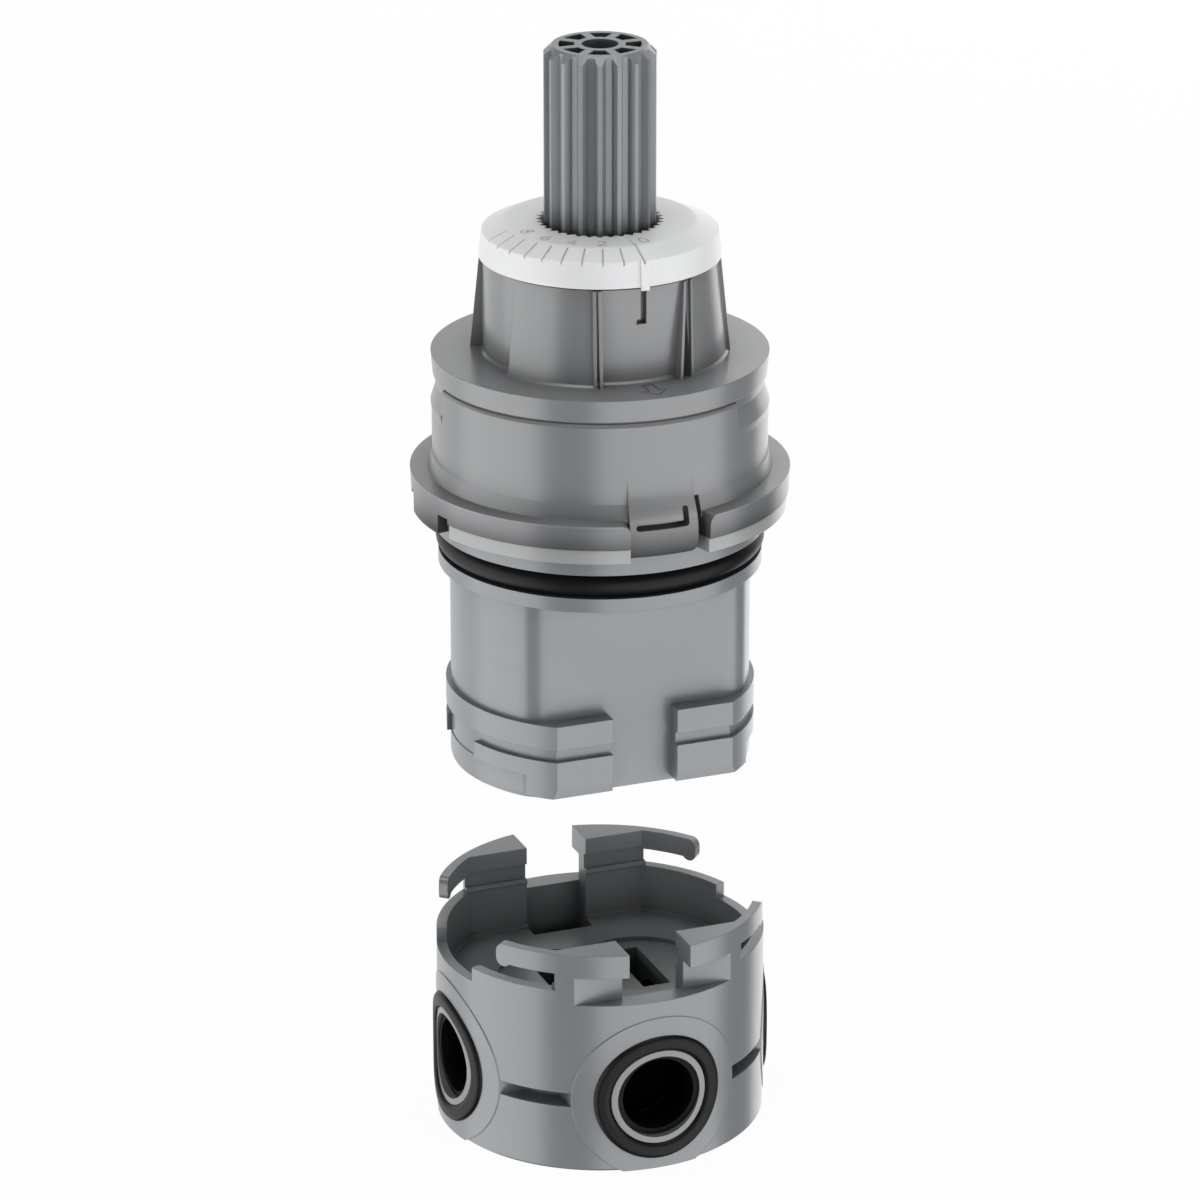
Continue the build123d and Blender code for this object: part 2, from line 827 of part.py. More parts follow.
# Lower housing: disc cup, seal collars, the flat-sided body and its clip bands
ring_section_radius = body_ring_section / 2
body_ring_centre = body_ring_outer_radius - ring_section_radius
body_groove_top = -collar_upper_height
body_groove_bottom = body_groove_top - body_ring_groove_height
body_groove_radius = body_ring_outer_radius - body_ring_section - seat_gap
body_top = body_groove_bottom - collar_lower_height
plate_top = body_bottom + plate_thickness
with BuildPart() as lower_housing:
    add(
        turned(
            [
                (0, cup_floor),
                (cup_bore, cup_floor),
                (cup_bore, cup_top),
                (cup_radius, cup_top),
                (cup_radius, 0),
                (collar_upper_radius, 0),
                (collar_upper_radius, body_groove_top),
                (body_groove_radius, body_groove_top),
                (body_groove_radius, body_groove_bottom),
                (collar_lower_radius, body_groove_bottom),
                (collar_lower_radius, body_top),
                (0, body_top),
            ]
        )
    )
    for turn in (0, 180):
        for start, end in (
            (break_right_angle, side_notch_start),
            (-side_notch_start, -break_left_angle),
        ):
            add(
                turned_block(
                    cup_radius - sunk, tab_radius, 0, flange_bottom, turn + start, end - start
                )
            )
    with BuildSketch(Plane.XY.offset(body_bottom)):
        add(flatted(body_radius, body_flat))
        fillet(vertices(), body_corner)
    extrude(amount=body_top - body_bottom)
    with BuildSketch(Plane.XY.offset(foot_bottom)) as band_core:
        add(flatted(body_radius, band_groove_flat))
        Rectangle(2 * band_gap_half, far_reach, mode=Mode.SUBTRACT)
    extrude(amount=band_top - foot_bottom)
    with BuildSketch(Plane.XY.offset(band_groove_top)):
        add(flatted(band_radius, band_flat))
        Rectangle(2 * band_gap_half, far_reach, mode=Mode.SUBTRACT)
    extrude(amount=band_top - band_groove_top)
    with BuildSketch(Plane.XY.offset(foot_top)):
        add(flatted(band_radius, band_flat))
        Rectangle(2 * band_gap_half, far_reach, mode=Mode.SUBTRACT)
        window_half = band_radius * math.sin(math.radians(side_window_angle))
        Rectangle(far_reach, 2 * window_half, mode=Mode.SUBTRACT)
    extrude(amount=lower_band_top - foot_top)
    with BuildSketch(Plane.XY.offset(foot_bottom)):
        add(flatted(band_radius, band_flat))
        step_half = band_radius * math.sin(math.radians(foot_step_angle))
        Rectangle(2 * step_half, far_reach, mode=Mode.INTERSECT)
        add(flatted(foot_recess_radius, band_flat))
        Rectangle(2 * band_gap_half, far_reach, mode=Mode.SUBTRACT)
    extrude(amount=foot_top - foot_bottom)
    for side in (-1, 1):
        with BuildSketch(Plane.YZ.offset(-far_reach / 2)):
            with BuildLine():
                Polyline(
                    (side * (band_flat - foot_lead_in), foot_bottom),
                    (side * (band_flat + cut_over), foot_bottom),
                    (side * (band_flat + cut_over), foot_bottom + foot_lead_height),
                    (side * band_flat, foot_bottom + foot_lead_height),
                    close=True,
                )
            make_face()
        extrude(amount=far_reach, mode=Mode.SUBTRACT)
    # the trough for the spool sleeve, open below
    with BuildSketch(Plane.YZ.offset(-trough_half_length)):
        with Locations((0, spool_axis_height)):
            Circle(trough_half_width)
        with Locations((0, (spool_axis_height + body_bottom) / 2)):
            Rectangle(2 * trough_half_width, spool_axis_height - body_bottom)
    extrude(amount=2 * trough_half_length, mode=Mode.SUBTRACT)
    with BuildSketch(Plane.XY.offset(body_bottom)):
        add(flatted(body_radius - plate_margin, plate_hold_half))
    extrude(amount=plate_thickness, mode=Mode.SUBTRACT)
    # the side ports open over the sleeve and the front and back ports run to the bottom
    with BuildSketch(Plane.XY.offset(cup_floor)):
        add(kidney(port_inner_radius, port_outer_radius, port_half_angle))
    extrude(amount=spool_axis_height - cup_floor, mode=Mode.SUBTRACT)
    with BuildSketch(Plane.XY.offset(cup_floor)):
        add(kidney(port_inner_radius, port_outer_radius, port_half_angle))
        Rectangle(2 * water_way_half, far_reach, mode=Mode.INTERSECT)
    extrude(amount=body_bottom - cup_floor, mode=Mode.SUBTRACT)
save(lower_housing.part, "lower_housing")

body_ring = torus_ring(
    ring_section_radius, body_ring_centre, (body_groove_top + body_groove_bottom) / 2
)
save(body_ring, "body_o_ring")

# Disc gasket: a thin moulded seal with a web round each port
with BuildPart() as disc_gasket:
    with BuildSketch(Plane.XY.offset(cup_floor)):
        Circle(port_outer_radius + gasket_rim)
        Circle(port_inner_radius - gasket_rim, mode=Mode.SUBTRACT)
        add(kidney(port_inner_radius, port_outer_radius, port_half_angle), mode=Mode.SUBTRACT)
    extrude(amount=gasket_thickness)
save(disc_gasket.part, "disc_gasket")

# Ceramic discs: the lower one has the four ports, the upper one turns and joins them
with BuildPart() as fixed_disc:
    with BuildSketch(Plane.XY.offset(gasket_top)):
        Circle(fixed_disc_radius)
        add(kidney(port_inner_radius, port_outer_radius, port_half_angle), mode=Mode.SUBTRACT)
    extrude(amount=disc_thickness_ceramic)
save(fixed_disc.part, "fixed_disc")

with BuildPart() as moving_disc:
    with BuildSketch(Plane.XY.offset(fixed_top)):
        Circle(moving_disc_radius)
    extrude(amount=disc_thickness_ceramic)
    add(
        turned_block(
            port_inner_radius - mixing_rim,
            port_outer_radius + mixing_rim,
            fixed_top,
            fixed_top + disc_thickness_ceramic / 2,
            -mixing_half_angle,
            2 * mixing_half_angle,
        ),
        mode=Mode.SUBTRACT,
    )
    with BuildSketch(Plane.XY.offset(moving_top)):
        with PolarLocations(moving_disc_radius, 2):
            Rectangle(2 * key_depth, key_width)
    extrude(amount=-key_height - groove_spare, mode=Mode.SUBTRACT)
save(moving_disc.part, "moving_disc")

with BuildPart() as disc_driver:
    with BuildSketch(Plane.XY.offset(moving_top)):
        Circle(driver_radius)
        Rectangle(tongue_length + slip_gap, tongue_width + slip_gap, mode=Mode.SUBTRACT)
    extrude(amount=driver_thickness)
    with BuildSketch(Plane.XY.offset(moving_top - key_height)):
        with PolarLocations(driver_radius - key_depth / 2, 2):
            Rectangle(key_depth, key_width - slip_gap)
        Circle(driver_radius, mode=Mode.INTERSECT)
        Rectangle(2 * (moving_disc_radius - key_depth + groove_spare), far_reach, mode=Mode.SUBTRACT)
    extrude(amount=key_height)
save(disc_driver.part, "disc_driver")

# Sleeve, spool and end plugs of the pressure balance unit
with BuildPart() as spool_sleeve:
    with BuildSketch(Plane.YZ.offset(-sleeve_half_length)):
        with Locations((0, spool_axis_height)):
            Circle(sleeve_radius)
            Circle(sleeve_bore, mode=Mode.SUBTRACT)
    extrude(amount=2 * sleeve_half_length)
    for place in sleeve_ring_places:
        with BuildSketch(Plane.YZ.offset(place - sleeve_ring_section / 2 - groove_spare)):
            with Locations((0, spool_axis_height)):
                Circle(sleeve_radius + cut_over)
                Circle(sleeve_ring_floor, mode=Mode.SUBTRACT)
        extrude(amount=sleeve_ring_section + 2 * groove_spare, mode=Mode.SUBTRACT)
    for place, reach in ((inlet_port_place, -sleeve_radius), (outlet_port_place, sleeve_radius)):
        with BuildSketch(Plane.XY.offset(spool_axis_height)):
            with Locations((place, 0), (-place, 0)):
                Circle(sleeve_port_radius)
        extrude(amount=reach, mode=Mode.SUBTRACT)
save(spool_sleeve.part, "spool_sleeve")

# O-rings that part the chambers round the sleeve
with BuildPart() as sleeve_o_rings:
    for place in sleeve_ring_places:
        with BuildSketch(Plane.XZ):
            with Locations((place, spool_axis_height + sleeve_ring_centre)):
                Circle(sleeve_ring_section / 2)
        revolve(axis=Axis((0, 0, spool_axis_height), (1, 0, 0)))
save(sleeve_o_rings.part, "sleeve_o_rings")

with BuildPart() as balance_spool:
    with BuildSketch(Plane.XZ):
        with BuildLine():
            Polyline(
                (-spool_half_length, spool_axis_height),
                (-spool_half_length, spool_axis_height + spool_radius),
                (-spool_half_length + spool_end_land, spool_axis_height + spool_radius),
                (-spool_half_length + spool_end_land, spool_axis_height + spool_waist_radius),
                (-spool_land_half, spool_axis_height + spool_waist_radius),
                (-spool_land_half, spool_axis_height + spool_radius),
                (spool_land_half, spool_axis_height + spool_radius),
                (spool_land_half, spool_axis_height + spool_waist_radius),
                (spool_half_length - spool_end_land, spool_axis_height + spool_waist_radius),
                (spool_half_length - spool_end_land, spool_axis_height + spool_radius),
                (spool_half_length, spool_axis_height + spool_radius),
                (spool_half_length, spool_axis_height),
                close=True,
            )
        make_face()
    revolve(axis=Axis((0, 0, spool_axis_height), (1, 0, 0)))
save(balance_spool.part, "balance_spool")

for name, side in (("left", -1), ("right", 1)):
    with BuildPart() as sleeve_plug:
        with BuildSketch(Plane.YZ.offset(side * sleeve_half_length)):
            with Locations((0, spool_axis_height)):
                Circle(sleeve_bore)
        extrude(amount=-side * sleeve_plug_thickness)
    save(sleeve_plug.part, f"sleeve_plug_{name}")

# Base plate: closes the body, carries the sleeve in a saddle and has the four water ways
with BuildPart() as base_plate:
    with BuildSketch(Plane.XY.offset(body_bottom)):
        add(flatted(body_radius - plate_margin - seat_gap, plate_hold_half - seat_gap))
    extrude(amount=plate_thickness)
    with BuildSketch(Plane.XY.offset(plate_top)):
        Rectangle(
            2 * (trough_half_length - plate_fit_gap), 2 * (trough_half_width - plate_fit_gap)
        )
    extrude(amount=saddle_top - plate_top)
    with BuildSketch(Plane.YZ.offset(-trough_half_length)):
        with Locations((0, spool_axis_height)):
            Circle(trough_half_width)
    extrude(amount=2 * trough_half_length, mode=Mode.SUBTRACT)
    with BuildSketch(Plane.XY.offset(body_bottom)):
        for side in (-1, 1):
            with Locations((side * slot_middle, 0)):
                Rectangle(slot_far - slot_near, 2 * slot_half_length)
    extrude(amount=saddle_top - body_bottom, mode=Mode.SUBTRACT)
    with BuildSketch(Plane.XY.offset(body_bottom)):
        add(kidney(port_inner_radius, port_outer_radius, port_half_angle))
        Rectangle(2 * water_way_half, far_reach, mode=Mode.INTERSECT)
    extrude(amount=plate_thickness, mode=Mode.SUBTRACT)
    with BuildSketch(Plane.XY.offset(body_bottom)):
        with Locations((slot_middle, 0), (-slot_middle, 0)):
            Circle(base_seal_outer)
        with Locations((slot_middle, 0), (-slot_middle, 0)):
            Circle(base_seal_inner, mode=Mode.SUBTRACT)
        Rectangle(base_seal_web, 2 * base_seal_web_half)
    extrude(amount=base_seal_depth, mode=Mode.SUBTRACT)
save(base_plate.part, "base_plate")

with BuildPart() as base_seal:
    with BuildSketch(Plane.XY.offset(body_bottom + base_seal_depth)):
        with Locations((slot_middle, 0), (-slot_middle, 0)):
            Circle(base_seal_outer)
        with Locations((slot_middle, 0), (-slot_middle, 0)):
            Circle(base_seal_inner, mode=Mode.SUBTRACT)
        Rectangle(base_seal_web, 2 * base_seal_web_half)
    extrude(amount=-base_seal_depth - base_seal_proud)
save(base_seal.part, "base_seal")

# Adaptor: one moulding with a walled socket, four clip posts with spring arms and four ports
skin_radius = adaptor_radius + pad_proud
with BuildPart() as port_pads:
    for angle in port_angles.values():
        with BuildSketch(facing_plane(angle, port_height).offset(pad_inner_reach)):
            Circle(pad_radius)
        extrude(amount=adaptor_radius)
    add(tube(skin_radius, pad_inner_reach, adaptor_bottom, base_rim), mode=Mode.INTERSECT)

port_seats = {}
port_rings = {}
for name, angle in port_angles.items():
    for store, outer_reach in ((port_seats, far_reach), (port_rings, skin_radius + seal_proud)):
        with BuildPart() as seal_body:
            with BuildSketch(facing_plane(angle, port_height).offset(pad_inner_reach)):
                Circle(seal_outer_radius)
                Circle(seal_inner_radius, mode=Mode.SUBTRACT)
            extrude(amount=skin_radius)
            add(
                tube(
                    outer_reach, skin_radius - seal_seat_depth, adaptor_bottom, base_rim
                ),
                mode=Mode.INTERSECT,
            )
            if store is port_rings:
                outward_axis = Axis((0, 0, port_height), facing_plane(angle).z_dir)
                fillet(faces().sort_by(outward_axis)[-1].edges(), seal_round)
        store[name] = seal_body.part

# Clip posts: upright, with a snap bead below a hooked lug, one pair each side of the gaps
post_width = adaptor_radius * math.sin(math.radians(post_end_angle)) - gap_half
with BuildPart() as clip_posts:
    for side in (-1, 1):
        post_outline = [
            (pad_flat, base_rim),
            (pad_flat, snap_height - snap_half_height),
            (pad_flat - snap_proud, snap_height),
            (pad_flat, snap_height + snap_half_height),
            (pad_flat + post_recess, snap_height + snap_half_height),
            (pad_flat + post_recess, lug_inner_bottom),
            (pad_flat, lug_inner_bottom),
            (pad_flat, crown_top),
            (adaptor_radius + sunk, crown_top),
            (adaptor_radius + sunk, lug_bottom),
            (outer_flat, lug_bottom),
            (outer_flat, base_rim),
        ]
        with BuildSketch(Plane.YZ.offset(gap_half), Plane.YZ.offset(-gap_half - post_width)):
            with BuildLine():
                Polyline(*[(side * reach, height) for reach, height in post_outline], close=True)
            make_face()
        extrude(amount=post_width)
    with BuildSketch(Plane.XY.offset(base_rim)):
        Circle(adaptor_radius)
    extrude(amount=crown_top - base_rim, mode=Mode.INTERSECT)

# Spring arms: each runs round the rim from a post and ends in a rounded tip with a bump below
arm_middle = (post_end_angle + arm_tip_angle) / 2
arm_half = adaptor_radius * math.sin(math.radians((arm_tip_angle - post_end_angle) / 2))
arm_tip_place = arm_half - arm_tip_radius
arm_tip_top = crown_top - arm_tip_radius
with BuildPart() as spring_arms:
    for turn, side in ((0, 1), (0, -1), (180, 1), (180, -1)):
        arm_plane = facing_plane(turn + side * arm_middle).offset(arm_inner_radius - 2 * sunk)
        with BuildSketch(arm_plane):
            with Locations((side * (arm_tip_place - arm_half - sunk) / 2, (arm_bottom + crown_top) / 2)):
                Rectangle(arm_tip_place + arm_half + sunk, crown_top - arm_bottom)
            with Locations(
                (side * arm_tip_place, arm_tip_top), (side * arm_tip_place, arm_bump_height)
            ):
                Circle(arm_tip_radius)
            with Locations((side * arm_tip_place, (arm_tip_top + arm_bump_height) / 2)):
                Rectangle(2 * arm_tip_radius, arm_tip_top - arm_bump_height)
        extrude(amount=far_reach)
    arm_lowest = arm_bump_height - arm_tip_radius - cut_over
    add(tube(adaptor_radius, arm_inner_radius, arm_lowest, crown_top), mode=Mode.INTERSECT)

# The rim between the posts and the sides
with BuildPart() as mid_rims:
    for start in (post_end_angle, -mid_rim_end_angle, 180 + post_end_angle, 180 - mid_rim_end_angle):
        add(
            turned_block(
                adaptor_bore,
                adaptor_radius,
                base_rim,
                mid_rim,
                start,
                mid_rim_end_angle - post_end_angle,
            )
        )

with BuildPart() as adaptor_body:
    with BuildSketch(Plane.XY.offset(adaptor_bottom)):
        Circle(adaptor_radius)
    extrude(amount=base_rim - adaptor_bottom)
    chamfer(edges().group_by(Axis.Z)[0], foot_chamfer)
    # the level grooves that join the ports, each with a deeper pocket
    add(
        turned_block(
            adaptor_radius - groove_slot_depth,
            adaptor_radius + cut_over,
            port_height - groove_slot_height / 2,
            port_height + groove_slot_height / 2,
        ),
        mode=Mode.SUBTRACT,
    )
    for angle in port_angles.values():
        add(
            turned_block(
                adaptor_radius - groove_pocket_depth,
                adaptor_radius,
                port_height - groove_slot_height / 2,
                port_height + groove_slot_height / 2,
                angle + groove_pocket_start,
                90 - 2 * groove_pocket_start,
            ),
            mode=Mode.SUBTRACT,
        )
        add(
            turned_block(
                core_inner,
                core_outer,
                adaptor_bottom,
                core_top,
                angle + core_start,
                90 - 2 * core_start,
            ),
            mode=Mode.SUBTRACT,
        )
    add(port_pads.part)
    # the socket, its floor ledge, the gaps and the windows
    with BuildSketch(Plane.XY.offset(adaptor_floor)):
        add(flatted(adaptor_bore - floor_ledge_width, pad_flat - floor_ledge_width))
    extrude(amount=floor_ledge_height, mode=Mode.SUBTRACT)
    with BuildSketch(Plane.XY.offset(adaptor_floor + floor_ledge_height)):
        add(flatted(adaptor_bore, pad_flat))
    extrude(amount=base_rim - adaptor_floor, mode=Mode.SUBTRACT)
    with BuildSketch(Plane.XY.offset(chamber_bottom)):
        with Locations((0, (window_front + gap_back) / 2), (0, -(window_front + gap_back) / 2)):
            Rectangle(2 * gap_half, gap_back - window_front)
        with Locations((slot_middle, 0), (-slot_middle, 0)):
            Rectangle(slot_far - slot_near, 2 * slot_half_length)
    extrude(amount=base_rim - chamber_bottom, mode=Mode.SUBTRACT)
    with BuildSketch(Plane.XY.offset(adaptor_floor)):
        with Locations((slot_middle, 0), (-slot_middle, 0)):
            Circle(seal_well_radius)
    extrude(amount=-seal_well_depth, mode=Mode.SUBTRACT)
    add(mid_rims.part)
    add(clip_posts.part)
    add(spring_arms.part)
    # the ports: seal seat, liner seat and the bore into its chamber
    for name, angle in port_angles.items():
        add(port_seats[name], mode=Mode.SUBTRACT)
        with BuildSketch(facing_plane(angle, port_height).offset(liner_face - liner_length)):
            Circle(liner_outer_radius)
        extrude(amount=skin_radius, mode=Mode.SUBTRACT)
        chamber_reach = window_front if name in ("front", "back") else slot_near
        with BuildSketch(facing_plane(angle, port_height).offset(chamber_reach)):
            Circle(port_bore)
        extrude(amount=skin_radius - chamber_reach, mode=Mode.SUBTRACT)
save(adaptor_body.part, "adaptor_body")

for name, angle in port_angles.items():
    with BuildPart() as port_liner:
        with BuildSketch(facing_plane(angle, port_height).offset(liner_face - liner_length)):
            Circle(liner_outer_radius)
            Circle(liner_bore, mode=Mode.SUBTRACT)
        extrude(amount=liner_length)
    save(port_liner.part, f"port_liner_{name}")
    save(port_rings[name], f"port_o_ring_{name}")
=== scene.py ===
import math

import bpy
import numpy as np
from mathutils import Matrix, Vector


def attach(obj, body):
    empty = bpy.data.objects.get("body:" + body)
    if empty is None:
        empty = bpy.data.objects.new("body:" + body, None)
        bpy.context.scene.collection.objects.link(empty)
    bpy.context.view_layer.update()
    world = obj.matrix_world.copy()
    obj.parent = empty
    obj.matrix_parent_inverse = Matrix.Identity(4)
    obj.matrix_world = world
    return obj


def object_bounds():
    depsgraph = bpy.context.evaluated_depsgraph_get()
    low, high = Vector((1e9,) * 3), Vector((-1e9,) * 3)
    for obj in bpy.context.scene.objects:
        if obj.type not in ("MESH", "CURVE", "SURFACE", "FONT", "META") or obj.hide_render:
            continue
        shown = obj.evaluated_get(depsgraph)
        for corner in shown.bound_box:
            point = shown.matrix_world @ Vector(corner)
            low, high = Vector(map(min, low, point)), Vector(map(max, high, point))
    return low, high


# A pressure balance cartridge for a shower valve, standing over its four-way adaptor.
# Metres, +Z up the stem, the front with the index slot faces -Y.
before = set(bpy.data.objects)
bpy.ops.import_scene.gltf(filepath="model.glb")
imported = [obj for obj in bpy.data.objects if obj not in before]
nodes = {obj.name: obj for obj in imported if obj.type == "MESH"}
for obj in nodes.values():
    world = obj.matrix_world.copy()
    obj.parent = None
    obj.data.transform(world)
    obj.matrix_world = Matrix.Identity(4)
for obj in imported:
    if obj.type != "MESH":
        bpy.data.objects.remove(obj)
cad_low, cad_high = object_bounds()
MM = 0.001

# Upper housing: the grey bell with the neck, disc, drum and broken flange. It is injection
# moulded in glass-filled nylon off a fine spark-eroded tool, which gives a mid grey, even satin.
# It locks over the lower housing with two tongues.
HOUSING_GREY = "#7b7d7f"
# painted shade: the flange is a shade darker, and grows darker and duller down its side to the
# tongues' feet
FLANGE_SHADE_BAND_MM = (0.3, 4.1, (0.72, 0.72, 0.73))
FLANGE_SHADE_FADE_MM = (0.45, 3.6, 0.2)
BAND_BLEND_MM = 0.15
MOTTLE_MM = 9.0
SHEEN_MM = 2.5
SHEEN_SPREAD = 0.03
# a real spark-eroded grain is finer than each grain_mm, which is as coarse as it needs to show
GRAIN_DEPTH_MM = 0.02
# painted shade: the near black that stands for the dark inside of the adaptor's bores
BORE_SHADE_BLACK = "#060606"


def linear_rgb(hex_colour):
    """The sRGB hex as linear red, green and blue, by the sRGB transfer curve."""
    channels = [int(hex_colour[i : i + 2], 16) / 255 for i in (1, 3, 5)]
    curve = [c / 12.92 if c <= 0.04045 else ((c + 0.055) / 1.055) ** 2.4 for c in channels]
    return (*curve, 1.0)


def add_node(tree, kind, settings=None, inputs=None, links=None):
    """One shader node, with its settings, its socket values and its incoming links."""
    node = tree.nodes.new(kind)
    for key, value in (settings or {}).items():
        setattr(node, key, value)
    for key, value in (inputs or {}).items():
        node.inputs[key].default_value = value
    for key, socket in (links or {}).items():
        tree.links.new(socket, node.inputs[key])
    return node


def empty_material(name):
    """A material with only its output node, with its tree and that node."""
    material = bpy.data.materials.new(name)
    material.use_nodes = True
    material.node_tree.nodes.clear()
    output = add_node(material.node_tree, "ShaderNodeOutputMaterial")
    return material, material.node_tree, output


def moulded_plastic(
    name,
    colour,
    roughness,
    grain_mm,
    edge_mm,
    fleck=0.05,
    specular=1.0,
    crease_shade=0.6,
    crease_shade_mm=3.0,
    painted_light_shade_bands=(),
    bore=None,
    painted_shade_fade=None,
    translucent_mm=0.0,
):
    """Moulded plastic: a mild mottle of the colour, a fine spark-eroded grain, soft edges.
    Colour and roughness follow noise a few millimetres wide, and the bump a much finer one,
    grain_mm wide. The colour runs from 1 - fleck to 1 + fleck times itself with the mottle.
    edge_mm: the radius by which the normals round the edges.
    Painted shade: in creases the colour falls by the factor 1 - crease_shade * (1 - openness
    within crease_shade_mm).
    painted_light_shade_bands: (bottom, top, factors) in mm of height, where the colour is
    multiplied by them: painted light where a factor is above 1, painted shade where it is below.
    bore: (height, radius) in mm of level bores along X and Y whose inside is painted near black
    and without gloss: painted shade.
    painted_shade_fade: (bottom, top, least) in mm of height, between which colour and gloss
    fall, in a straight line, from their full value at the top to that share at the bottom:
    painted shade.
    translucent_mm: how far light spreads under the skin."""
    material, tree, output = empty_material(name)
    coords = add_node(tree, "ShaderNodeTexCoord")
    mottle = add_node(
        tree,
        "ShaderNodeTexNoise",
        inputs={"Scale": 1 / (MOTTLE_MM * MM), "Detail": 3.0, "Roughness": 0.55},
        links={"Vector": coords.outputs["Object"]},
    )
    shade = add_node(
        tree,
        "ShaderNodeMix",
        settings={"data_type": "RGBA", "blend_type": "MIX"},
        links={0: mottle.outputs["Fac"]},
    )
    base = np.array(linear_rgb(colour)[:3])
    shade.inputs[6].default_value = (*(base * (1 - fleck)), 1)
    shade.inputs[7].default_value = (*np.minimum(base * (1 + fleck), 1), 1)
    # painted shade: the colour is darkened in creases and hollows by ambient occlusion
    openness = add_node(
        tree,
        "ShaderNodeAmbientOcclusion",
        settings={"samples": 8},
        inputs={"Distance": crease_shade_mm * MM},
    )
    crease_shaded = add_node(
        tree,
        "ShaderNodeMix",
        settings={"data_type": "RGBA", "blend_type": "MULTIPLY"},
        inputs={0: crease_shade},
        links={6: shade.outputs[2], 7: openness.outputs["Color"]},
    )
    base_colour = crease_shaded.outputs[2]
    height = add_node(tree, "ShaderNodeSeparateXYZ", links={0: coords.outputs["Object"]})
    # painted light and shade: the colour is multiplied by a factor within each band of height
    for bottom, top, factor in painted_light_shade_bands:
        rise, fall = (
            add_node(
                tree,
                "ShaderNodeMapRange",
                settings={"interpolation_type": "SMOOTHSTEP"},
                inputs={
                    "From Min": (edge - BAND_BLEND_MM) * MM,
                    "From Max": (edge + BAND_BLEND_MM) * MM,
                },
                links={"Value": height.outputs["Z"]},
            )
            for edge in (bottom, top)
        )
        inside = add_node(
            tree,
            "ShaderNodeMath",
            settings={"operation": "SUBTRACT"},
            links={0: rise.outputs["Result"], 1: fall.outputs["Result"]},
        )
        banded = add_node(
            tree,
            "ShaderNodeMix",
            settings={"data_type": "RGBA", "blend_type": "MULTIPLY", "clamp_factor": True},
            links={0: inside.outputs[0], 6: base_colour},
        )
        banded.inputs[7].default_value = (*factor, 1)
        base_colour = banded.outputs[2]
    # painted shade: the colour is darkened toward the bottom of the span
    if painted_shade_fade:
        fade_bottom, fade_top, fade_least = painted_shade_fade
        shade_share = add_node(
            tree,
            "ShaderNodeMapRange",
            inputs={
                "From Min": fade_bottom * MM,
                "From Max": fade_top * MM,
                "To Min": fade_least,
            },
            links={"Value": height.outputs["Z"]},
        )
        dimmed = add_node(
            tree,
            "ShaderNodeMix",
            settings={"data_type": "RGBA", "blend_type": "MULTIPLY"},
            inputs={0: 1.0},
            links={6: base_colour, 7: shade_share.outputs["Result"]},
        )
        base_colour = dimmed.outputs[2]
    sheen_map = add_node(
        tree,
        "ShaderNodeTexNoise",
        inputs={"Scale": 1 / (SHEEN_MM * MM), "Detail": 4.0},
        links={"Vector": coords.outputs["Object"]},
    )
    rough = add_node(
        tree,
        "ShaderNodeMapRange",
        inputs={"To Min": roughness - SHEEN_SPREAD, "To Max": roughness + SHEEN_SPREAD},
        links={"Value": sheen_map.outputs["Fac"]},
    )
    grain = add_node(
        tree,
        "ShaderNodeTexNoise",
        inputs={"Scale": 1 / (grain_mm * MM), "Detail": 2.0},
        links={"Vector": coords.outputs["Object"]},
    )
    soft_edge = add_node(
        tree, "ShaderNodeBevel", settings={"samples": 6}, inputs={"Radius": edge_mm * MM}
    )
    bump = add_node(
        tree,
        "ShaderNodeBump",
        inputs={"Strength": 0.12, "Distance": GRAIN_DEPTH_MM * MM},
        links={"Height": grain.outputs["Fac"], "Normal": soft_edge.outputs["Normal"]},
    )
    surface = add_node(
        tree,
        "ShaderNodeBsdfPrincipled",
        inputs={
            "IOR": 1.5,
            "Specular IOR Level": specular,
            "Subsurface Weight": 1.0 if translucent_mm else 0.0,
            "Subsurface Scale": translucent_mm * MM,
            "Subsurface Radius": (1, 1, 1),
        },
        links={
            "Base Color": base_colour,
            "Roughness": rough.outputs["Result"],
            "Normal": bump.outputs["Normal"],
        },
    )
    # the painted shade's span also lowers the gloss
    if painted_shade_fade:
        gloss = add_node(
            tree,
            "ShaderNodeMath",
            settings={"operation": "MULTIPLY"},
            inputs={1: specular},
            links={0: shade_share.outputs["Result"]},
        )
        tree.links.new(gloss.outputs[0], surface.inputs["Specular IOR Level"])
    # painted shade: the inside of the bores is painted near black, with no gloss
    if bore:
